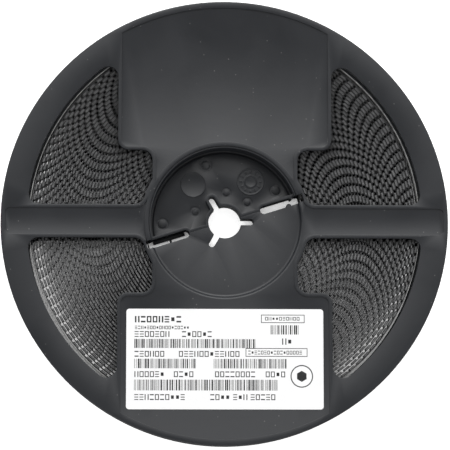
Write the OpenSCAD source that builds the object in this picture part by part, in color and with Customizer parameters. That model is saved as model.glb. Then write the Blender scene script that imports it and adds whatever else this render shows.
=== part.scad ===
// Tape reel for surface-mount parts: two moulded halves, the wound carrier
// tape between their flanges, the tab that holds its end, and a paper label.
// The reel lies flat with its arbor hole on Z and its front flange up.

/* [Reel] */
// Outer diameter of both flanges
reel_d = 180; // [150:1:220]
// Thickness of a flange at its rim and window lips
flange_t = 1.5; // [1.2:0.1:1.9]
// Depth of the sunken panels in a flange's outer face
panel_depth = 0.5; // [0.3:0.05:0.6]
// Width of the raised rim outside the label panels
rim_w = 2.6; // [2:0.1:5]
// Radius that breaks the outer edge of a flange
edge_r = 0.4; // [0.2:0.05:0.5]

/* [Windows] */
// Flange left between a window and the outer edge
band_w = 10.4; // [8:0.1:14]
// Distance from the centre line to a window's straight side
window_x = 43.1; // [38:0.1:48]
// Distance from the centre line to the step in a window
window_y = 28.9; // [25:0.1:33]
// How far a window reaches beside the hub, inward from its curved edge
neck_in = 4.6; // [3.5:0.1:6]
// Half of the spoke between an upper and a lower window
spoke_h = 6.75; // [5:0.05:8]
// Gap from the hub's outside to the curved edge of a window
hub_gap = 2.5; // [2:0.1:4]
// Corner radius of the windows
corner_r = 4.2; // [3:0.1:5]
// Width of the raised lip round each window
lip_w = 1.45; // [1:0.05:2]

/* [Hub] */
// Outer diameter of the hub that the tape is wound on
hub_d = 62.6; // [52:0.2:66]
// Thickness of the hub's wall
hub_wall = 1.4; // [1.2:0.1:1.7]
// How far each half's plate lies below its own flange's face
plate_depth = 2.8; // [2.3:0.1:3.4]
// Thickness of the plates inside the hub
plate_t = 1.2; // [1:0.1:1.5]
// Thickness of the ribs on the plates' inner faces
rib_t = 1.2; // [0.9:0.1:1.5]
// Angle of the line where the two half plates meet
split_angle = 17.4; // [0:0.2:25]
// Width of the raised bead round the opening for the other half's wall
bead_w = 1.75; // [1.4:0.05:2.1]
// Clearance between the two halves
half_gap = 0.05; // [0.02:0.01:0.1]

/* [Arbor hole] */
// Diameter of the arbor hole
arbor_d = 13.2; // [12.8:0.1:13.5]
// Distance from the axis to the end of a drive slot
drive_r = 11.6; // [10.1:0.1:12.5]
// Width of the three drive slots
drive_w = 2.5; // [2:0.1:3]

/* [Tape slots] */
// Width of the two slots that grip the inner end of the tape
slot_w = 3.2; // [2.6:0.1:3.6]
// Distance from the axis to the closed end of a tape slot
slot_r = 15; // [14:0.1:18]
// Width of the gripping lip in the left slot
grip_w = 1.5; // [1:0.1:1.8]

/* [Tape] */
// Width of the carrier tape
tape_w = 8; // [6.6:0.1:12]
// Room between the flanges beyond the tape's width
side_play = 1.6; // [1.2:0.1:2]
// Thickness of the carrier strip
tape_t = 0.3; // [0.2:0.05:0.4]
// Number of turns on the hub
turns = 36; // [25:1:42]
// Distance from the tape's upper edge to its pockets
pocket_top = 1.2; // [0.8:0.1:1.6]
// Distance from the tape's lower edge, which has the feed holes, to its pockets
pocket_bottom = 3; // [2:0.1:3.8]
// Space between the wound tape and the windows' outer edge
tape_gap = 0.9; // [0.5:0.1:2]
// Length of the tab that holds the tape's outer end
tab_l = 28; // [15:1:45]
// Thickness of the tab
tab_t = 0.1; // [0.05:0.01:0.15]

/* [Label] */
// Margin at the sides of the label panel
label_margin = 2.3; // [1.5:0.1:4]
// Space between the hub's rim and the label
label_gap = 3.8; // [2:0.1:6]
// Space between the label's corners and the rim
label_rim_gap = 2.3; // [1.5:0.1:4]
// Thickness of the label
label_t = 0.12; // [0.08:0.01:0.2]
// Corner radius of the label
label_corner = 1.2; // [0.5:0.1:2]

/* [Hidden] */
$fn = 96;

reel_r = reel_d / 2;
reel_w = tape_w + side_play + 2 * flange_t;
hub_r = hub_d / 2;
hub_in_r = hub_r - hub_wall;
arbor_r = arbor_d / 2;
window_r = reel_r - band_w;
window_in_r = hub_r + hub_gap;
neck_x = window_in_r - neck_in;
panel_r = reel_r - rim_w;
panel_x = window_x - lip_w;
spoke_reach = 0.7;
spoke_end_r = panel_r + spoke_reach;
spoke_corner = 2;
tongue_t = hub_wall / 2;
opening_r = hub_in_r + tongue_t + half_gap;
dish_rim = 0.3;
dish_r = hub_r + dish_rim;
dish_edge = 1;
dish_fillet = 1.2;
dish_wall_r = dish_r - dish_edge;
flange_lap = 0.3;
moat_w = 1;
moat_depth = 0.6;
floor_edge = 0.3;
roll_r = window_r - tape_gap;
turn = (roll_r - tape_t - hub_r) / (turns - 1);
tape_low = flange_t + side_play / 2;
tape_high = tape_low + tape_w;
boss_r = arbor_r + rib_t;
slot_end_r = slot_w / 2;
drive_angles = [0, 120, 240];
rib_depth = reel_w - plate_depth;
tooth_w = 0.8;
nib_r = [1.1, 0.7];
nib_inset = [3.3, 1.5];
mark_h = 0.2;
mark_line = 0.4;
pin_sleeve = 0.9;
pin_r = [2.5, 2.1];
pin_at = [hub_in_r - 4.8, boss_r + 5];
pin_angles = [[16, 90, 163], [26, 69, 140]];
ring_inset = 9.6;
ring_r = 5.2;
ring_angle = 111;
dial_r = 5.6;
dial_inner_r = 2.5;
dial_tick_r = 3.4;
dial_tick = 1.1;
dial_angle = 41;
label_x = panel_x - label_margin;
label_high = dish_r + label_gap;
label_low = sqrt(pow(panel_r - label_rim_gap, 2) - pow(label_x, 2));
plastic = [0.16, 0.17, 0.18];

// Points of an arc round c, from angle a to angle b
function arc(c, r, a, b, n) =
    [for (i = [0:n]) c + r * [cos(a + (b - a) * i / n), sin(a + (b - a) * i / n)]];

// Centre of a circle of radius r that touches the outer window arc of radius
// big from inside and a straight side at distance d from the origin
function tip_centre(big, r, d) = [d + r, sqrt(pow(big - r, 2) - pow(d + r, 2))];

// Outline of the upper right window, moved outwards by g
function window_outline(g) =
    let (big = window_r + g,
         small = window_in_r - g,
         x = window_x - g,
         neck = neck_x - g,
         step = window_y + g,
         low = spoke_h - g,
         r = corner_r + g,
         dent = corner_r - g,
         low_tip = tip_centre(big, r, low),
         low_c = [low_tip[1], low_tip[0]],
         top_c = tip_centre(big, r, x),
         low_a = atan2(low_c[1], low_c[0]),
         top_a = atan2(top_c[1], top_c[0]),
         hub_y = low + r,
         hub_x = sqrt(pow(small + r, 2) - pow(hub_y, 2)),
         hub_c = [hub_x, hub_y],
         hub_a = atan2(hub_y, hub_x),
         neck_a = acos(neck / small))
    concat(
        arc(low_c, r, -90, low_a, 7),
        arc([0, 0], big, low_a, top_a, 24),
        arc(top_c, r, top_a, 180, 8),
        arc([x - dent, step + dent], dent, 0, -90, 6),
        arc([neck + r, step - r], r, 90, 180, 6),
        arc([0, 0], small, neck_a, hub_a, 6),
        arc(hub_c, r, 180 + hub_a, 270, 7));

// One window in each quarter of the flange
module windows(g) {
    for (sx = [0, 1]) {
        for (sy = [0, 1]) {
            mirror([sx, 0]) mirror([0, sy]) polygon(window_outline(g));
        }
    }
}

// The half plane beyond the split line, which lies along X
module own_side(size, shift) {
    translate([-size, shift]) square([2 * size, size]);
}

// The area where a flange's outer face is sunk
module panel_area() {
    difference() {
        union() {
            intersection() {
                circle(r = panel_r, $fn = 180);
                square([2 * panel_x, 2 * reel_r], center = true);
            }
            round_rectangle(2 * spoke_end_r, 2 * (spoke_h - lip_w), spoke_corner);
        }
        windows(lip_w);
    }
}

// A rectangle round the origin with round corners
module round_rectangle(w, h, r) {
    square([w - 2 * r, h], center = true);
    square([w, h - 2 * r], center = true);
    for (sx = [-1, 1]) {
        for (sy = [-1, 1]) {
            translate([sx * (w / 2 - r), sy * (h / 2 - r)]) circle(r = r, $fn = 32);
        }
    }
}

// A drive slot that opens into the arbor hole, moved outwards by g
module drive_slot(g) {
    end = drive_r - drive_w / 2;
    translate([0, -drive_w / 2 - g]) square([end, drive_w + 2 * g]);
    translate([end, 0]) circle(r = drive_w / 2 + g, $fn = 32);
}

// The three drive slots as seen from a half's own side
module drive_slots(side, g) {
    for (a = drive_angles) {
        rotate(side * (a - split_angle)) drive_slot(g);
    }
}

// The two tape slots that run out through the hub's wall, moved out by g
module tape_slots(g) {
    for (s = [0, 1]) {
        mirror([s, 0]) {
            translate([slot_r + slot_end_r, 0]) circle(r = slot_end_r + g, $fn = 32);
            translate([slot_r + slot_end_r, -slot_end_r - g])
                square([hub_r - slot_r, slot_w + 2 * g]);
        }
    }
}

// Every through hole of a half's plate
module plate_holes(side) {
    circle(r = arbor_r);
    drive_slots(side, 0);
    tape_slots(0);
}

// Ribs round the arbor hole, the slots and along the line between the plates
module rib_area(side) {
    difference() {
        intersection() {
            union() {
                circle(r = boss_r);
                drive_slots(side, rib_t);
                tape_slots(rib_t);
                square([2 * slot_r, 2 * rib_t], center = true);
            }
            circle(r = hub_in_r + hub_wall / 2);
            own_side(hub_r, half_gap);
        }
        plate_holes(side);
    }
}

// Section of a half's hub, with its own face upwards: a solid top that the
// dish is cut from, the wall down to the other flange, the tongue that enters
// that flange, and the plate's inner face with a moat round its edge
function hub_section() =
    let (under = reel_w - plate_depth - plate_t,
         joint = reel_w - flange_t + flange_lap,
         plate_r = hub_in_r - moat_w)
    concat(
        [[0, under],
         [0, joint],
         [hub_r, joint],
         [hub_r, flange_t],
         [hub_in_r + tongue_t, flange_t],
         [hub_in_r + tongue_t, panel_depth],
         [hub_in_r, panel_depth],
         [hub_in_r, under + moat_depth],
         [plate_r, under + moat_depth]],
        arc([plate_r - floor_edge, under + floor_edge], floor_edge, 0, -90, 3));

// Section of the dish that is cut from a half's own side
function dish_section() =
    let (face = reel_w - panel_depth, top = reel_w - plate_depth)
    concat(
        [[0, reel_w + 1], [0, top]],
        arc([dish_wall_r - dish_fillet, top + dish_fillet], dish_fillet, -90, 0, 6),
        arc([dish_r, face - dish_edge], dish_edge, 180, 90, 6),
        [[dish_r, reel_w + 1]]);

// The two tape slots where they pass through plate, wall and dish
module slot_cut() {
    intersection() {
        circle(r = dish_r, $fn = 180);
        tape_slots(0);
    }
}

// A round mark on the plate's inner face, left by an ejector pin's sleeve
module pin_mark(r) {
    difference() {
        cylinder(h = 2 * mark_h, r = r, center = true, $fn = 48);
        cylinder(h = 3 * mark_h, r = r - pin_sleeve, center = true, $fn = 48);
    }
}

// The raised ring round a mould mark
module mark_ring(r) {
    translate([0, 0, -mark_h]) {
        difference() {
            cylinder(h = 2 * mark_h, r = r, $fn = 64);
            translate([0, 0, -mark_h]) cylinder(h = 4 * mark_h, r = r - mark_line, $fn = 64);
        }
    }
}

// The mould's date dial: two rings and twelve plain ticks between them
module date_dial(r, inner_r, tick_r, tick_l) {
    mark_ring(r);
    mark_ring(inner_r);
    for (a = [0:30:330]) {
        rotate(a) translate([tick_r, -mark_line / 2, -mark_h]) cube([tick_l, mark_line, 2 * mark_h]);
    }
}

// Marks sunk into the plate's inner face
module sunk_marks() {
    for (row = [0, 1], a = pin_angles[row]) {
        rotate(a) translate([pin_at[row], 0, 0]) pin_mark(pin_r[row]);
    }
}

// Marks that stand up from the plate's inner face
module raised_marks() {
    rotate(ring_angle) translate([hub_in_r - ring_inset, 0, 0]) mark_ring(ring_r);
    rotate(dial_angle) translate([hub_in_r - ring_inset, 0, 0])
        date_dial(dial_r, dial_inner_r, dial_tick_r, dial_tick);
}

// The nibs and the lip that hold the tape's inner end in the slots
module slot_grips(side) {
    kind = side > 0 ? 1 : 0;
    translate([hub_in_r - nib_inset[kind], slot_end_r, plate_depth])
        cylinder(h = rib_depth - plate_depth, r = nib_r[kind], $fn = 32);
    if (side > 0) {
        lip_u = slot_r + slot_end_r;
        lip_v = slot_end_r - grip_w;
        translate([-hub_in_r, lip_v, rib_depth - plate_t])
            cube([hub_in_r - lip_u, grip_w + rib_t / 2, plate_t]);
        translate([-(lip_u + hub_in_r) / 2, half_gap - slot_end_r, rib_depth - plate_t])
            cube([tooth_w, slot_w, plate_t]);
    }
}

// The hub on a half's own side, before the dish and the holes are cut
module hub_solid(side) {
    rotate_extrude(angle = 180, $fn = 180) polygon(hub_section());
    translate([0, 0, plate_depth]) linear_extrude(rib_depth - plate_depth) rib_area(side);
}

// What is cut from a half inside the hub
module hub_cuts(side) {
    rotate_extrude(angle = 180, $fn = 180) polygon(dish_section());
    translate([0, 0, -1]) {
        linear_extrude(reel_w + 2) {
            plate_holes(side);
            slot_cut();
            translate([-hub_in_r / 2, half_gap - 1]) square([hub_in_r, 1]);
        }
    }
    translate([0, 0, rib_depth - plate_t]) sunk_marks();
}

// A flange with its outer face upwards, open for the other half's wall
module flange(side) {
    rim = flange_t - edge_r;
    difference() {
        rotate_extrude($fn = 240)
            polygon(concat(
                [[0, reel_w - flange_t]],
                arc([reel_r - edge_r, reel_w - rim], edge_r, -90, 0, 4),
                arc([reel_r - edge_r, reel_w - edge_r], edge_r, 0, 90, 4),
                [[0, reel_w]]));
        translate([0, 0, reel_w - flange_t - 1]) {
            linear_extrude(flange_t + 2) {
                windows(0);
                flange_opening(side);
            }
        }
        translate([0, 0, reel_w - panel_depth]) {
            linear_extrude(panel_depth + 1) {
                difference() {
                    panel_area();
                    intersection() {
                        circle(r = opening_r + bead_w, $fn = 180);
                        other_side(side);
                    }
                }
            }
        }
    }
}

// The half disc that lies across the split line from a half's own plate
module other_side(side) {
    rotate(split_angle + (side > 0 ? 180 : 0)) own_side(hub_d, 0);
}

// The half-round opening of a flange, for the other half's wall
module flange_opening(side) {
    intersection() {
        circle(r = opening_r, $fn = 180);
        other_side(side);
    }
}

// One moulded half with its own face upwards; side is 1 or -1 for the side
// of the split line that its plate takes
module reel_half(side) {
    difference() {
        union() {
            flange(side);
            hub_frame(side) hub_solid(side);
        }
        hub_frame(side) hub_cuts(side);
    }
    hub_frame(side) {
        translate([0, 0, rib_depth - plate_t]) raised_marks();
        slot_grips(side);
    }
}

// Turns the split line from X to its place, on a half's own side
module hub_frame(side) {
    rotate(split_angle) mirror([0, side > 0 ? 0 : 1, 0]) children();
}

// The upper half
module front_half() {
    color(plastic) reel_half(-1);
}

// The lower half, which lies on the table
module rear_half() {
    color(plastic) translate([0, 0, reel_w]) mirror([0, 0, 1]) reel_half(1);
}

// Outline of one turn's edge at radius r, from the band of pockets to the edge
function strip_edge(r, band, edge) = [[r, band], [r, edge], [r + tape_t, edge], [r + tape_t, band]];

// Outlines of every turn's edge, from the hub outwards
function strip_edges(band, edge) =
    [for (i = [0:turns - 1], p = strip_edge(hub_r + i * turn, band, edge)) p];

// The points of a list from the last to the first
function backwards(points) = [for (i = [len(points) - 1:-1:0]) points[i]];

// The wound tape: the strip's edges stand out of the band of pockets
module tape_roll() {
    section = concat(
        strip_edges(tape_high - pocket_top, tape_high),
        backwards(strip_edges(tape_low + pocket_bottom, tape_low)));
    color([0.24, 0.25, 0.26]) rotate_extrude($fn = 240) polygon(section);
}

// The strip of film that holds the tape's outer end
module end_tab() {
    span = 360 * tab_l / (2 * PI * roll_r);
    color([0.85, 0.86, 0.84])
        rotate(-90 - span / 2)
            rotate_extrude(angle = span, $fn = 240)
                translate([roll_r, tape_low]) square([tab_t, tape_w]);
}

// The paper label in the lower panel
module label() {
    h = label_low - label_high;
    color("white") translate([0, -(label_low + label_high) / 2, reel_w - panel_depth]) {
        linear_extrude(label_t) round_rectangle(2 * label_x, h, label_corner);
    }
}

front_half();
rear_half();
tape_roll();
end_tab();
label();
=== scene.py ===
# %% [markdown]
# # A tape reel for surface-mount parts
# The reel is two black plastic mouldings that interlock, a long embossed
# carrier tape wound between them, a bit of film that holds the tape's outer
# end, and a white paper label. The shapes that have to fit come from the CAD
# model, which the first cell imports from model.glb. This script gives them
# soft edges, winds the real tape, prints the label and lights the whole.

# %% Tools and the CAD frame
import bpy
import bmesh
import math
import random
from mathutils import Matrix, Vector


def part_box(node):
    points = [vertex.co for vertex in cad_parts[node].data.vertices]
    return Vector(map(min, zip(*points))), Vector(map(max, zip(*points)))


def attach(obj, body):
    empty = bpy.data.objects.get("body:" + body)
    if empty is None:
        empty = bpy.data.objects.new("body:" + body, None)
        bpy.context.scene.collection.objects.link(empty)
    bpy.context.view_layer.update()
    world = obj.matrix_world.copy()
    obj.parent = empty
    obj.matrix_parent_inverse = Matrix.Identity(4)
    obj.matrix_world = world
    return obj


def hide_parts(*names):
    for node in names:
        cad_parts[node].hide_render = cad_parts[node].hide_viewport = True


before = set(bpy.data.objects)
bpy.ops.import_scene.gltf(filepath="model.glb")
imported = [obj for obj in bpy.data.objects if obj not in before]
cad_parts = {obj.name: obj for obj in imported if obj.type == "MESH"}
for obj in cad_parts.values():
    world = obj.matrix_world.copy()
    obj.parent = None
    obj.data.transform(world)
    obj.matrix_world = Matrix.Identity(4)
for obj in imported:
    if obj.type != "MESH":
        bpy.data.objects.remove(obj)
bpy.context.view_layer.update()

MM = 0.001
print("CAD nodes:", ", ".join(sorted(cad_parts)))

# %% [markdown]
# ## Sizes that the pieces share
# The height of the face, the width of the tape and the radius of the wound
# roll are read from the CAD nodes, so a changed model carries its looks with
# it. The hub's radius, the number of turns and what only the looks need are
# named here in metres.

# %% Sizes
face_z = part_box("front_half")[1].z
roll_low, roll_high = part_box("tape_roll")
label_low, label_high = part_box("label")
roll_r = roll_high.x
tape_low, tape_high = roll_low.z, roll_high.z
hub_r = 31.3 * MM
turns = 36
strip_t = 0.26 * MM
film_t = 0.2 * MM
pocket_pitch = 4.0 * MM
turn_pitch = (roll_r - film_t - strip_t - hub_r) / turns
full_turn = 2 * math.pi
print(f"face at {face_z / MM:.2f} mm, tape {tape_low / MM:.2f} to {tape_high / MM:.2f} mm, "
      f"turn every {turn_pitch / MM:.3f} mm")

# %% [markdown]
# ## Small helpers
# A finished piece is one mesh object at the origin, with its place in its
# vertices. It rides on the reel's only body and carries its finish as its
# material. Level faces are shaded flat, because a smooth one would take on
# the tilt of the narrow strips beside it.

# %% Helpers for pieces
level_z = 0.9995


def place(bm, name, material, smooth=True, instead_of=None):
    """Turns a bmesh into a piece of the reel."""
    mesh = bpy.data.meshes.new(name)
    bm.to_mesh(mesh)
    bm.free()
    for polygon in mesh.polygons:
        polygon.use_smooth = smooth and abs(polygon.normal.z) < level_z
    piece = bpy.data.objects.new(name, mesh)
    bpy.context.scene.collection.objects.link(piece)
    piece.data.materials.append(material)
    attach(piece, "root")
    if instead_of:
        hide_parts(instead_of)
    triangles = sum(len(p.vertices) - 2 for p in mesh.polygons)
    print(f"{name}: {len(mesh.vertices)} vertices, {triangles} triangles")
    return piece


def sharpen(piece, degrees):
    """Marks hard lines on a piece where its faces meet at more than an angle."""
    piece.data.set_sharp_from_angle(angle=math.radians(degrees))


def box_between(bm, low, high):
    """Adds a closed box between two corners and returns its vertices."""
    size = Vector(high) - Vector(low)
    middle = (Vector(high) + Vector(low)) / 2
    stretch = Matrix.Translation(middle) @ Matrix.Diagonal((*size, 1))
    return bmesh.ops.create_cube(bm, size=1, matrix=stretch)["verts"]


# %% [markdown]
# ## Node groups for effects that several finishes share
# A moulded or cut surface is never one flat colour. Three effects come back
# in most finishes here: a fine grain, slow blotches where the surface was
# touched or cooled unevenly, and dust that settles on faces that look up.
# Each is a shader node group, built once, that gives a value between 0 and 1
# or a normal.

# %% Helpers for nodes
def new_group(name, inputs, outputs):
    """An empty shader group with named sockets: (name, type, value) and (name, type)."""
    group = bpy.data.node_groups.new(name, "ShaderNodeTree")
    for title, kind, value in inputs:
        socket = group.interface.new_socket(name=title, in_out="INPUT", socket_type=kind)
        socket.default_value = value
    for title, kind in outputs:
        group.interface.new_socket(name=title, in_out="OUTPUT", socket_type=kind)
    return group, group.nodes.new("NodeGroupInput"), group.nodes.new("NodeGroupOutput")


def add_node(tree, kind, settings=None, **values):
    """Adds a node, sets its properties and its input sockets by name."""
    node = tree.nodes.new(kind)
    for key, value in (settings or {}).items():
        setattr(node, key, value)
    for key, value in values.items():
        node.inputs[key.replace("_", " ")].default_value = value
    return node


def math_node(tree, operation, a, b, clamp=False):
    """A Math node on two sockets or numbers."""
    node = tree.nodes.new("ShaderNodeMath")
    node.operation = operation
    node.use_clamp = clamp
    for index, value in enumerate((a, b)):
        if isinstance(value, bpy.types.NodeSocket):
            tree.links.new(value, node.inputs[index])
        else:
            node.inputs[index].default_value = value
    return node.outputs[0]


# %% [markdown]
# ## Fine grain
# A mould's face is eroded or polished, and both leave a texture too fine to
# model. Two noises of different size feed one Bump node. The coarse one has
# about an eighth of the fine one's scale and twice its weight.

# %% Group: fine grain
coarse_scale = 0.12
coarse_weight = 2.0


def build_grain_group():
    """A normal with two sizes of fine grain."""
    group, inside, outside = new_group(
        "fine_grain",
        [("Scale", "NodeSocketFloat", 2500.0), ("Depth", "NodeSocketFloat", 0.00001)],
        [("Normal", "NodeSocketVector")])
    place_in = add_node(group, "ShaderNodeTexCoord")
    fine = add_node(group, "ShaderNodeTexNoise", Detail=2.0, Roughness=0.6)
    coarse = add_node(group, "ShaderNodeTexNoise", Detail=1.0)
    group.links.new(place_in.outputs["Object"], fine.inputs["Vector"])
    group.links.new(place_in.outputs["Object"], coarse.inputs["Vector"])
    group.links.new(inside.outputs["Scale"], fine.inputs["Scale"])
    wide = math_node(group, "MULTIPLY", inside.outputs["Scale"], coarse_scale)
    group.links.new(wide, coarse.inputs["Scale"])
    heavy = math_node(group, "MULTIPLY", coarse.outputs["Fac"], coarse_weight)
    both = math_node(group, "ADD", fine.outputs["Fac"], heavy)
    bump = add_node(group, "ShaderNodeBump", Strength=0.5)
    group.links.new(both, bump.inputs["Height"])
    group.links.new(inside.outputs["Depth"], bump.inputs["Distance"])
    group.links.new(bump.outputs["Normal"], outside.inputs["Normal"])
    return group


grain_group = build_grain_group()
print("made", grain_group.name)

# %% [markdown]
# ## Blotches
# Plastic that cools unevenly and paper that was handled vary slowly from
# place to place. One noise is stretched round its middle and clamped, which
# gives a mask that the colour and the gloss can both follow.

# %% Group: blotches
def build_blotch_group():
    """A slow mask that runs between 0 and 1, for colour and gloss that wander."""
    group, inside, outside = new_group(
        "blotches",
        [("Scale", "NodeSocketFloat", 60.0), ("Contrast", "NodeSocketFloat", 2.0)],
        [("Mask", "NodeSocketFloat")])
    place_in = add_node(group, "ShaderNodeTexCoord")
    noise = add_node(group, "ShaderNodeTexNoise", Detail=4.0, Roughness=0.55, Distortion=0.4)
    group.links.new(place_in.outputs["Object"], noise.inputs["Vector"])
    group.links.new(inside.outputs["Scale"], noise.inputs["Scale"])
    centred = math_node(group, "SUBTRACT", noise.outputs["Fac"], 0.5)
    steep = math_node(group, "MULTIPLY", centred, inside.outputs["Contrast"])
    group.links.new(math_node(group, "ADD", steep, 0.5, clamp=True), outside.inputs["Mask"])
    return group


blotch_group = build_blotch_group()
print("made", blotch_group.name)

# %% [markdown]
# ## Dust
# Black plastic shows every speck. A Voronoi texture gives cells: a small disc
# round a cell's centre is a speck, the cell's random colour says whether that
# cell has one, and the normal keeps specks off walls.

# %% Group: dust
speck_size = 0.16
facing_up = 0.8


def build_dust_group():
    """Sparse specks, only on faces that look up."""
    group, inside, outside = new_group(
        "dust",
        [("Scale", "NodeSocketFloat", 900.0), ("Amount", "NodeSocketFloat", 0.3)],
        [("Mask", "NodeSocketFloat")])
    place_in = add_node(group, "ShaderNodeTexCoord")
    geometry = add_node(group, "ShaderNodeNewGeometry")
    cells = add_node(group, "ShaderNodeTexVoronoi")
    group.links.new(place_in.outputs["Object"], cells.inputs["Vector"])
    group.links.new(inside.outputs["Scale"], cells.inputs["Scale"])
    speck = math_node(group, "LESS_THAN", cells.outputs["Distance"], speck_size)
    colour = add_node(group, "ShaderNodeSeparateColor")
    group.links.new(cells.outputs["Color"], colour.inputs["Color"])
    chosen = math_node(group, "LESS_THAN", colour.outputs["Red"], inside.outputs["Amount"])
    facing = add_node(group, "ShaderNodeSeparateXYZ")
    group.links.new(geometry.outputs["Normal"], facing.inputs["Vector"])
    upward = math_node(group, "GREATER_THAN", facing.outputs["Z"], facing_up)
    both = math_node(group, "MULTIPLY", speck, chosen)
    group.links.new(math_node(group, "MULTIPLY", both, upward), outside.inputs["Mask"])
    return group


dust_group = build_dust_group()
print("made", dust_group.name)

# %% [markdown]
# ## Building a finish
# Every finish here is one Principled shader, with the groups feeding its
# colour, roughness and normal. Four small helpers make the shader, place a
# group, blend two colours and turn a mask into a range of values.

# %% Helpers for materials
def new_material(name, **sockets):
    """A material with a Principled shader whose plain values sit on its own sockets."""
    material = bpy.data.materials.new(name)
    material.use_nodes = True
    shader = material.node_tree.nodes["Principled BSDF"]
    for key, value in sockets.items():
        shader.inputs[key.replace("_", " ")].default_value = value
    return material, material.node_tree, shader


def use_group(tree, group, **values):
    """Places a node group in a material with its own values."""
    node = tree.nodes.new("ShaderNodeGroup")
    node.node_tree = group
    for key, value in values.items():
        node.inputs[key].default_value = value
    return node


def mix_colour(tree, mask, first, second):
    """Blends two colours, given as sockets or as RGB, by a mask."""
    node = tree.nodes.new("ShaderNodeMix")
    node.data_type = "RGBA"
    tree.links.new(mask, node.inputs["Factor"])
    for socket, value in ((node.inputs["A"], first), (node.inputs["B"], second)):
        if isinstance(value, bpy.types.NodeSocket):
            tree.links.new(value, socket)
        else:
            socket.default_value = (*value, 1)
    return node.outputs["Result"]


def spread(tree, mask, low, high):
    """Maps a 0 to 1 mask onto a range of values."""
    node = add_node(tree, "ShaderNodeMapRange", To_Min=low, To_Max=high)
    tree.links.new(mask, node.inputs["Value"])
    return node.outputs["Result"]


# %% [markdown]
# ## The black plastic
# The halves are moulded in carbon-filled polystyrene. It is almost black, a
# little blue, and its tool was spark-eroded, so that light comes back as a
# broad soft sheen. Blotches move both the colour and the gloss, and a few
# dust specks lie on top.

# %% Material: moulded plastic
def build_reel_plastic():
    material, tree, shader = new_material("moulded_black_plastic", Specular_IOR_Level=0.5)
    blotches = use_group(tree, blotch_group, Scale=38.0, Contrast=2.4)
    grain = use_group(tree, grain_group, Scale=2600.0, Depth=0.00002)
    dust = use_group(tree, dust_group, Scale=700.0, Amount=0.05)
    body = mix_colour(tree, blotches.outputs["Mask"], (0.0085, 0.0098, 0.0125), (0.0115, 0.013, 0.016))
    dusty = mix_colour(tree, dust.outputs["Mask"], body, (0.09, 0.09, 0.09))
    tree.links.new(dusty, shader.inputs["Base Color"])
    tree.links.new(spread(tree, blotches.outputs["Mask"], 0.36, 0.46), shader.inputs["Roughness"])
    tree.links.new(grain.outputs["Normal"], shader.inputs["Normal"])
    return material


reel_plastic = build_reel_plastic()
print("made", reel_plastic.name)

# %% [markdown]
# ## The carrier tape
# The tape is conductive black plastic, thinner and glossier than the reel.
# Its pockets are drawn from the strip and are the same black plastic; their
# grey colour is a painted highlight that stands in for the light on their
# lit faces. The empty leader on the outside is a paler grey, a painted glint
# on its clear film. One function makes all three, with the colours and the
# gloss as arguments.

# %% Material: carrier tape
def build_tape_plastic(name, dark, light, low_gloss, high_gloss):
    material, tree, shader = new_material(name, Specular_IOR_Level=0.5)
    blotches = use_group(tree, blotch_group, Scale=420.0, Contrast=3.0)
    grain = use_group(tree, grain_group, Scale=5200.0, Depth=0.00001)
    tree.links.new(mix_colour(tree, blotches.outputs["Mask"], dark, light), shader.inputs["Base Color"])
    tree.links.new(spread(tree, blotches.outputs["Mask"], low_gloss, high_gloss), shader.inputs["Roughness"])
    tree.links.new(grain.outputs["Normal"], shader.inputs["Normal"])
    return material


strip_plastic = build_tape_plastic("carrier_strip", (0.006, 0.006, 0.007), (0.01, 0.01, 0.011), 0.3, 0.45)
# pale grey: a painted glint on the clear cover film of the last turn
leader_painted_glint = build_tape_plastic("leader_film", (0.18, 0.18, 0.18), (0.42, 0.42, 0.41), 0.25, 0.4)
# grey: a painted highlight; the pockets are the strip's own black plastic
pocket_painted_highlight = build_tape_plastic("pockets_painted_highlight", (0.16, 0.162, 0.165), (0.3, 0.302, 0.305), 0.34, 0.46)
print("made", strip_plastic.name, leader_painted_glint.name, pocket_painted_highlight.name)

# %% [markdown]
# ## The film tab's finish
# Sealing film is thin, pale and glossy. A wound film on black tape hardly
# shows what is under it, so a pale colour with low roughness stands in for
# real transparency.

# %% Material: film
def build_film():
    material, tree, shader = new_material("cover_film", Specular_IOR_Level=0.6, IOR=1.5)
    blotches = use_group(tree, blotch_group, Scale=300.0, Contrast=2.0)
    tree.links.new(mix_colour(tree, blotches.outputs["Mask"], (0.62, 0.63, 0.61), (0.74, 0.75, 0.73)),
                   shader.inputs["Base Color"])
    tree.links.new(spread(tree, blotches.outputs["Mask"], 0.12, 0.3), shader.inputs["Roughness"])
    return material


tab_film = build_film()
print("made", tab_film.name)

# %% [markdown]
# ## Paper and ink
# Label paper is coated, so it is a plain bright white with a fine grain and
# little gloss. Thermal print is a dark grey that wanders, because the printer
# heats it line by line. Both use the same two groups at other scales.

# %% Materials: label paper and print
def build_paper():
    material, tree, shader = new_material("white_paper", Specular_IOR_Level=0.35)
    blotches = use_group(tree, blotch_group, Scale=90.0, Contrast=1.6)
    grain = use_group(tree, grain_group, Scale=4200.0, Depth=0.00001)
    tree.links.new(mix_colour(tree, blotches.outputs["Mask"], (0.83, 0.83, 0.83), (0.87, 0.87, 0.875)),
                   shader.inputs["Base Color"])
    tree.links.new(spread(tree, blotches.outputs["Mask"], 0.5, 0.62), shader.inputs["Roughness"])
    tree.links.new(grain.outputs["Normal"], shader.inputs["Normal"])
    return material


def build_ink():
    material, tree, shader = new_material("thermal_ink", Specular_IOR_Level=0.3)
    blotches = use_group(tree, blotch_group, Scale=1500.0, Contrast=3.0)
    tree.links.new(mix_colour(tree, blotches.outputs["Mask"], (0.008, 0.008, 0.009), (0.03, 0.03, 0.032)),
                   shader.inputs["Base Color"])
    tree.links.new(spread(tree, blotches.outputs["Mask"], 0.5, 0.7), shader.inputs["Roughness"])
    return material


label_paper = build_paper()
thermal_ink = build_ink()
print("made", label_paper.name, thermal_ink.name)

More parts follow.
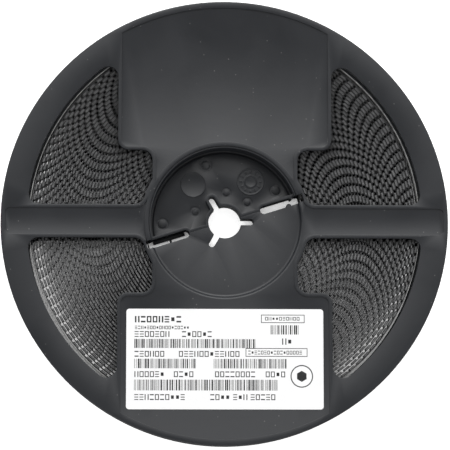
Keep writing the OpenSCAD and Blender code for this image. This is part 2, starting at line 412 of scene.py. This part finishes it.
# %% [markdown]
# ## The two moulded halves
# The CAD mesh has the right form but knife-sharp edges, and no real moulding
# has those: every edge has a tiny radius that catches the light as a thin
# line. A copy of each CAD mesh is merged, its flat faces are joined, the big
# ones are cut into triangles again so that their holes stay open, and the
# sharp edges are bevelled.

# %% Halves with soft edges
edge_radius = 0.1 * MM
merge_within = 0.002 * MM
flat_angle = math.radians(1.0)
crease_angle = math.radians(35)


def soften(node, name, material):
    """A copy of a CAD half with bevelled edges, which is shown in its place."""
    bm = bmesh.new()
    bm.from_mesh(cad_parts[node].data)
    bmesh.ops.remove_doubles(bm, verts=bm.verts, dist=merge_within)
    bmesh.ops.dissolve_limit(bm, angle_limit=flat_angle, verts=bm.verts, edges=bm.edges)
    bmesh.ops.triangulate(bm, faces=[f for f in bm.faces if len(f.verts) > 4])
    sharp = [e for e in bm.edges if len(e.link_faces) == 2 and e.calc_face_angle() > crease_angle]
    print(f"{node}: {len(sharp)} sharp edges of {len(bm.edges)}")
    bmesh.ops.bevel(bm, geom=sharp, offset=edge_radius, offset_type="OFFSET", segments=2, profile=0.5,
                    affect="EDGES", material=-1, clamp_overlap=False, loop_slide=True)
    piece = place(bm, name, material, instead_of=node)
    sharpen(piece, 32)
    return piece


soften("front_half", "reel_front", reel_plastic)
soften("rear_half", "reel_rear", reel_plastic)

# %% [markdown]
# ## The wound strip
# A roll of tape is a spiral, not a stack of rings. It is spun as rings first,
# because spin makes clean faces: each turn's section, a narrow upright
# rectangle, goes round the axis. Then every vertex moves out by the share of
# a turn that it has gone round, so that the end of each ring meets the start
# of the next, and merging joins them into one strip. The rings stop a hair
# short of a full turn, so that their ends can be told apart.

# %% Spiral strip
ring_steps = 150
almost_full = full_turn * (1 - 1e-6)
start_share = 1e-7
join_within = 0.005 * MM


def upright(bm, radius, thick, low, high):
    """The closed outline of a strip that stands on edge, in the plane of X and Z."""
    corners = [bm.verts.new((r, 0, z)) for r, z in
               ((radius, low), (radius, high), (radius + thick, high), (radius + thick, low))]
    return corners + [bm.edges.new((corners[i], corners[(i + 1) % 4])) for i in range(4)]


def wind_strip():
    bm = bmesh.new()
    sections = []
    for turn in range(turns):
        sections += upright(bm, hub_r + turn * turn_pitch, strip_t, tape_low, tape_high)
    bmesh.ops.spin(bm, geom=sections, cent=(0, 0, 0), axis=(0, 0, 1), dvec=(0, 0, 0),
                   angle=almost_full, steps=ring_steps, use_merge=False)
    for vertex in bm.verts:
        x, y, z = vertex.co
        radius = math.hypot(x, y)
        share = (math.atan2(y, x) / full_turn) % 1
        if share < start_share:
            share = 0.0
        vertex.co *= (radius + share * turn_pitch) / radius
        vertex.co.z = z
    bmesh.ops.remove_doubles(bm, verts=bm.verts, dist=join_within)
    bmesh.ops.holes_fill(bm, edges=[e for e in bm.edges if e.is_boundary], sides=4)
    bmesh.ops.recalc_face_normals(bm, faces=bm.faces)
    return bm


strip = place(wind_strip(), "tape_strip", strip_plastic, instead_of="tape_roll")
sharpen(strip, 40)

# %% [markdown]
# ## One pocket
# Each pocket is a small cup, drawn towards the hub, one every four
# millimetres along the strip. It could be pushed out of the strip's own mesh,
# but a cup that is modelled once and copied is lighter and stays even. Its
# walls have draft, and its corners are cut once.

# %% Pocket cup
pocket_l = 2.95 * MM
pocket_h = 3.7 * MM
pocket_d = 0.72 * MM
pocket_top = 1.2 * MM
pocket_corner = 0.3 * MM
draft = 0.9


def model_pocket():
    """A cup that opens at x = 0 and reaches towards -x, with its length along y."""
    bm = bmesh.new()
    box_between(bm, (-pocket_d, -pocket_l / 2, -pocket_h / 2), (0, pocket_l / 2, pocket_h / 2))
    for vertex in bm.verts:
        if vertex.co.x < -pocket_d / 2:
            vertex.co.y *= draft
            vertex.co.z *= draft
    open_side = [f for f in bm.faces if f.normal.x > 0.9]
    bmesh.ops.delete(bm, geom=open_side, context="FACES_ONLY")
    corners = [e for e in bm.edges if abs(e.verts[0].co.x - e.verts[1].co.x) > pocket_d / 2]
    bmesh.ops.bevel(bm, geom=corners, offset=pocket_corner, offset_type="OFFSET", segments=1, profile=0.5,
                    affect="EDGES", material=-1)
    bmesh.ops.recalc_face_normals(bm, faces=bm.faces)
    return bm


pocket = model_pocket()
pocket_mesh = bpy.data.meshes.new("one_pocket")
pocket.to_mesh(pocket_mesh)
pocket.free()
print("one pocket has", len(pocket_mesh.polygons), "faces")

# %% [markdown]
# ## Pockets along the spiral
# The length of tape wound up to a turn says where the next cup sits, so the
# cups of neighbouring turns drift past each other as on a real roll. A small
# seeded shake keeps the pattern from looking ruled. The cups are added turn by
# turn, because small meshes are quicker to add to.

# %% Rows of pockets
tilt_shake = 2.5
height_shake = 0.05
first_pocket_r = hub_r + pocket_d + 0.1 * turn_pitch


def spiral_places(step):
    """Turn angle and radius for points a step apart along the strip."""
    places = []
    angle = 0.0
    while angle < turns * full_turn:
        radius = hub_r + turn_pitch * angle / full_turn
        places.append((angle, radius))
        angle += step / radius
    return places


def fill_pockets():
    """All cups in one mesh, each turned and moved to its place."""
    whole = bmesh.new()
    shake = random.Random(7)
    middle = tape_high - pocket_top - pocket_h / 2
    places = [p for p in spiral_places(pocket_pitch) if p[1] > first_pocket_r]
    for turn in range(turns):
        bm = bmesh.new()
        for angle, radius in places:
            if int(angle / full_turn) != turn:
                continue
            before = len(bm.verts)
            bm.from_mesh(pocket_mesh)
            tilt = Matrix.Rotation(math.radians(shake.uniform(-tilt_shake, tilt_shake)), 4, "Z")
            slip = Matrix.Translation((radius, 0, middle + shake.uniform(-height_shake, height_shake) * MM))
            bm.verts.ensure_lookup_table()
            move = Matrix.Rotation(angle, 4, "Z") @ slip @ tilt
            bmesh.ops.transform(bm, matrix=move, verts=bm.verts[before:])
        mesh = bpy.data.meshes.new("one_turn")
        bm.to_mesh(mesh)
        bm.free()
        whole.from_mesh(mesh)
        bpy.data.meshes.remove(mesh)
    return whole


# the cups' grey finish is a painted highlight
place(fill_pockets(), "tape_pockets", pocket_painted_highlight, smooth=False)

# %% [markdown]
# ## The leader
# The last turn of a full reel is empty leader under its cover film. The film
# is a ring whose pale grey is a painted glint, so that its cut edge draws a
# bright line round the roll. Its section is spun once round the axis, a
# little thinner than its room so that it stays inside the CAD roll's box.

# %% Leader film
leader_steps = 240
film_fill = 0.98


def wind_leader():
    bm = bmesh.new()
    section = upright(bm, roll_r - film_t, film_t * film_fill, tape_low, tape_high)
    bmesh.ops.spin(bm, geom=section, cent=(0, 0, 0), axis=(0, 0, 1), dvec=(0, 0, 0),
                   angle=full_turn, steps=leader_steps, use_merge=True)
    bmesh.ops.recalc_face_normals(bm, faces=bm.faces)
    return bm


# the leader's pale grey is a painted glint
place(wind_leader(), "leader_film", leader_painted_glint)

# %% [markdown]
# ## The film tab
# The tape's outer end is held by a short strip of film. The CAD node has its
# true size, so it keeps its mesh and only gets a finish.

# %% Finish of the film tab
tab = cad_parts["end_tab"]
tab.data.materials.clear()
tab.data.materials.append(tab_film)
print("end_tab keeps its CAD mesh")

# %% [markdown]
# ## The label
# The label is thin paper with round corners. It is a box of the CAD node's
# size whose four upright edges are bevelled, so its place and thickness
# follow the CAD.

# %% Paper
paper_corner = 1.2 * MM


def cut_paper():
    bm = bmesh.new()
    box_between(bm, label_low, label_high)
    half_height = 0.5 * (label_high.z - label_low.z)
    corner_edges = [e for e in bm.edges if abs(e.verts[0].co.z - e.verts[1].co.z) > half_height]
    bmesh.ops.bevel(bm, geom=corner_edges, offset=paper_corner, offset_type="OFFSET", segments=8,
                    profile=0.5, affect="EDGES", material=-1)
    return bm


place(cut_paper(), "label_paper", label_paper, smooth=False, instead_of="label")

# %% [markdown]
# ## The print
# Real labels carry names and codes; this one carries only the look of print.
# Words become rows of plain frames, rails, posts and blocks, and bar codes
# become seeded bars that code nothing. Each stroke is a thin box of ink, so
# that the print is geometry and needs no picture.

# %% Helpers for print
print_z = label_high.z
print_t = 0.012 * MM
letter_step = 1.28
rail_weight = 1.3
post_weight = 1.2
dice = random.Random(41)


def stroke(bm, x, y, w, h):
    """A bar of ink with its lower left corner at x, y on the label, in millimetres."""
    left = label_low.x + x * MM
    low = label_low.y + y * MM
    box_between(bm, (left, low, print_z), (left + w * MM, low + h * MM, print_z + print_t))


def outline(bm, x, y, w, h, line):
    """A frame of four strokes."""
    stroke(bm, x, y, w, line)
    stroke(bm, x, y + h - line, w, line)
    stroke(bm, x, y + line, line, h - 2 * line)
    stroke(bm, x + w - line, y + line, line, h - 2 * line)


def word(bm, x, y, count, w, h, line):
    """Simple shapes in a row that stand for a word: frames, rails, posts and blocks."""
    for index in range(count):
        left = x + index * w * letter_step
        kind = dice.choice(("frame", "frame", "rails", "posts", "ladder", "block"))
        if kind == "frame":
            outline(bm, left, y, w, h, line)
        elif kind == "rails":
            stroke(bm, left, y, w, line * rail_weight)
            stroke(bm, left, y + h - line * rail_weight, w, line * rail_weight)
        elif kind == "posts":
            stroke(bm, left, y, line * post_weight, h)
            stroke(bm, left + w - line * post_weight, y, line * post_weight, h)
        elif kind == "ladder":
            for rung in range(3):
                stroke(bm, left, y + rung * (h - line) / 2, w, line)
        else:
            stroke(bm, left + w * 0.15, y + h * 0.2, w * 0.7, h * 0.6)


def bars(bm, x, y, w, h, thin=0.18):
    """A bar code that codes nothing: seeded bars of one to three widths."""
    at = x
    while at < x + w:
        bar = thin * dice.choice((1, 1, 1, 2, 3))
        stroke(bm, at, y, min(bar, x + w - at), h)
        at += bar + thin * dice.choice((1, 1, 2, 2, 3))


# %% [markdown]
# ## Layout of the label
# Each row of the table names what is drawn, where its lower left corner is on
# the label in millimetres, and how big it is. A lettering size is the width
# and height of one shape and the weight of its line.

# %% Print
heading = (1.85, 2.55, 0.5)
plain = (1.6, 2.3, 0.34)
figure = (1.7, 2.5, 0.36)
tiny = (0.95, 1.35, 0.24)
boxed = (1.1, 1.4, 0.24)
narrow = (1.0, 1.5, 0.24)
frame_line = 0.26
print_rows = (
    (word, 3.4, 34.6, 8, *heading),
    (word, 3.4, 31.9, 18, *tiny),
    (word, 3.3, 28.8, 7, *plain),
    (word, 22.2, 28.8, 6, *plain),
    (bars, 3.2, 24.4, 48.6, 3.6),
    (word, 3.3, 20.9, 6, *plain),
    (word, 21.0, 20.9, 12, *plain),
    (bars, 3.2, 16.3, 24.6, 3.8),
    (bars, 34.9, 16.3, 29.0, 3.8),
    (word, 3.3, 12.8, 6, *plain),
    (word, 19.0, 12.8, 4, *plain),
    (word, 35.4, 12.8, 8, *plain),
    (word, 55.6, 12.8, 4, *plain),
    (bars, 3.2, 7.5, 57.0, 4.3),
    (word, 3.3, 3.7, 10, *plain),
    (word, 33.5, 3.7, 4, *plain),
    (word, 42.6, 3.7, 3, *plain),
    (word, 49.6, 3.7, 5, *plain),
    (outline, 53.8, 34.5, 17.4, 3.3, frame_line),
    (word, 55.4, 35.5, 10, *boxed),
    (bars, 57.6, 29.9, 11.4, 3.7),
    (word, 62.2, 25.8, 2, *figure),
    (outline, 47.6, 21.0, 24.7, 3.4, frame_line),
    (word, 48.6, 21.9, 17, *narrow),
)


def print_label():
    bm = bmesh.new()
    for draw, *values in print_rows:
        draw(bm, *values)
    return bm


place(print_label(), "label_print", thermal_ink, smooth=False)

# %% [markdown]
# ## The ring sign
# A round sign stands at the label's right edge. It is a ring, spun from its
# small square section, round a plain hexagon.

# %% Ring sign
sign_at = (70.0 * MM, 13.2 * MM)
sign_r = 4.5 * MM
sign_line = 0.42 * MM
hexagon_r = 2.2 * MM
sign_steps = 64


def print_ring():
    bm = bmesh.new()
    centre = Vector((label_low.x + sign_at[0], label_low.y + sign_at[1], print_z))
    corners = [bm.verts.new(centre + Vector((r, 0, z))) for r, z in
               ((sign_r - sign_line, 0), (sign_r, 0), (sign_r, print_t), (sign_r - sign_line, print_t))]
    section = [bm.edges.new((corners[i], corners[(i + 1) % 4])) for i in range(4)]
    bmesh.ops.spin(bm, geom=corners + section, cent=centre, axis=(0, 0, 1), dvec=(0, 0, 0),
                   angle=full_turn, steps=sign_steps, use_merge=True)
    bmesh.ops.recalc_face_normals(bm, faces=bm.faces)
    bmesh.ops.create_cone(bm, cap_ends=True, segments=6, radius1=hexagon_r, radius2=hexagon_r,
                          depth=print_t, matrix=Matrix.Translation(centre + Vector((0, 0, print_t / 2))))
    return bm


place(print_ring(), "label_ring", thermal_ink, smooth=False)

# %% [markdown]
# ## The floor
# The reel lies on a pale floor that should read as white and still keep the
# reel's shadow. More light would wash out the object, so the floor glows
# instead, and only to the camera. Ambient occlusion dims the glow where
# something stands close above, which keeps the dark line under the rim.

# %% Floor
floor_half = 3.0
shadow_reach = 0.03
open_enough = 0.14
floor_glow = 0.85


def build_floor():
    bm = bmesh.new()
    bmesh.ops.create_grid(bm, x_segments=1, y_segments=1, size=floor_half)
    mesh = bpy.data.meshes.new("floor")
    bm.to_mesh(mesh)
    bm.free()
    floor = bpy.data.objects.new("floor", mesh)
    bpy.context.scene.collection.objects.link(floor)
    material, tree, shader = new_material("pale_floor", Base_Color=(0.8, 0.8, 0.8, 1), Roughness=0.9)
    path = tree.nodes.new("ShaderNodeLightPath")
    open_sky = add_node(tree, "ShaderNodeAmbientOcclusion", {"samples": 12}, Distance=shadow_reach)
    glow = add_node(tree, "ShaderNodeMapRange", From_Min=0.0, From_Max=open_enough,
                    To_Min=0.0, To_Max=floor_glow)
    tree.links.new(open_sky.outputs["AO"], glow.inputs["Value"])
    seen = math_node(tree, "MAXIMUM", path.outputs["Is Camera Ray"], path.outputs["Is Transmission Ray"])
    strength = math_node(tree, "MULTIPLY", seen, glow.outputs["Result"])
    tree.links.new(strength, shader.inputs["Emission Strength"])
    shader.inputs["Emission Color"].default_value = (1, 1, 1, 1)
    floor.data.materials.append(material)


build_floor()
print("floor at z = 0")

# %% [markdown]
# ## The light
# A matt black disc shows what it mirrors, so the sky is not one even grey. A
# colour ramp over the sky's Y direction makes it dim overhead, where the face
# mirrors it, and bright low down in front and behind, which lights the paper
# and the tape. One soft lamp behind the reel adds shadows inside the windows.

# %% Studio light
sky_steps = ((-1.0, 0.9), (-0.35, 0.8), (-0.12, 0.08), (0.03, 0.1),
             (0.1, 0.42), (0.22, 1.0), (0.4, 1.9), (1.0, 2.0))


def build_sky():
    """Soft light whose strength depends on how far it comes from in front or behind."""
    world = bpy.data.worlds.new("studio")
    bpy.context.scene.world = world
    world.use_nodes = True
    tree = world.node_tree
    background = tree.nodes["Background"]
    direction = tree.nodes.new("ShaderNodeTexCoord")
    parts = tree.nodes.new("ShaderNodeSeparateXYZ")
    tree.links.new(direction.outputs["Generated"], parts.inputs["Vector"])
    across = add_node(tree, "ShaderNodeMapRange", From_Min=-1.0, From_Max=1.0)
    tree.links.new(parts.outputs["Y"], across.inputs["Value"])
    ramp = tree.nodes.new("ShaderNodeValToRGB")
    ramp.color_ramp.interpolation = "EASE"
    top = max(level for _, level in sky_steps)
    while len(ramp.color_ramp.elements) < len(sky_steps):
        ramp.color_ramp.elements.new(0.5)
    for element, (at, level) in zip(ramp.color_ramp.elements, sky_steps):
        element.position = (at + 1) / 2
        element.color = (level / top, level / top, level / top, 1)
    tree.links.new(across.outputs["Result"], ramp.inputs["Fac"])
    tree.links.new(ramp.outputs["Color"], background.inputs["Color"])
    background.inputs["Strength"].default_value = top


def add_lamp(name, stand, aim, size, power):
    """A rectangular area lamp that stands at a place and looks at another."""
    data = bpy.data.lights.new(name, "AREA")
    data.shape = "RECTANGLE"
    data.size, data.size_y = size
    data.energy = power
    lamp = bpy.data.objects.new(name, data)
    bpy.context.scene.collection.objects.link(lamp)
    lamp.location = stand
    lamp.rotation_euler = (Vector(aim) - Vector(stand)).to_track_quat("-Z", "Y").to_euler()


build_sky()
add_lamp("back_box", stand=(0.0, 1.1, 0.9), aim=(0, 0, 0), size=(0.7, 0.4), power=6)
print("sky and lamp placed")

# %% [markdown]
# ## The camera
# The camera looks almost straight down, from the near side and a little from
# the left, so that the far wall of the hub shows. A long lens at some
# distance keeps the reel round. Its three axes are worked out from the
# direction that it stands in, which keeps the picture's upright along +Y.

# %% Camera
view_distance = 0.9
tilt = math.radians(7.5)
lean = math.radians(15)
toward = Vector((-math.sin(tilt) * math.sin(lean), -math.sin(tilt) * math.cos(lean), math.cos(tilt)))
target = Vector((0, -1.6 * MM, face_z))
camera_data = bpy.data.cameras.new("camera")
camera_data.lens = 179.3
camera_data.sensor_width = 36
camera_data.clip_end = 20
camera = bpy.data.objects.new("camera", camera_data)
bpy.context.scene.collection.objects.link(camera)
back = toward.normalized()
right = Vector((0, 1, 0)).cross(back).normalized()
up = back.cross(right)
turned = Matrix((right, up, back)).transposed().to_4x4()
camera.matrix_world = Matrix.Translation(target + toward * view_distance) @ turned
bpy.context.scene.camera = camera
bpy.context.scene.view_settings.view_transform = "Standard"
print("camera looks down from", [round(c, 3) for c in camera.matrix_world.translation])

# %% [markdown]
# ## The end
# The looks must not outgrow the CAD. The last cell only prints that the
# script is done.

# %% The end
print("script done")
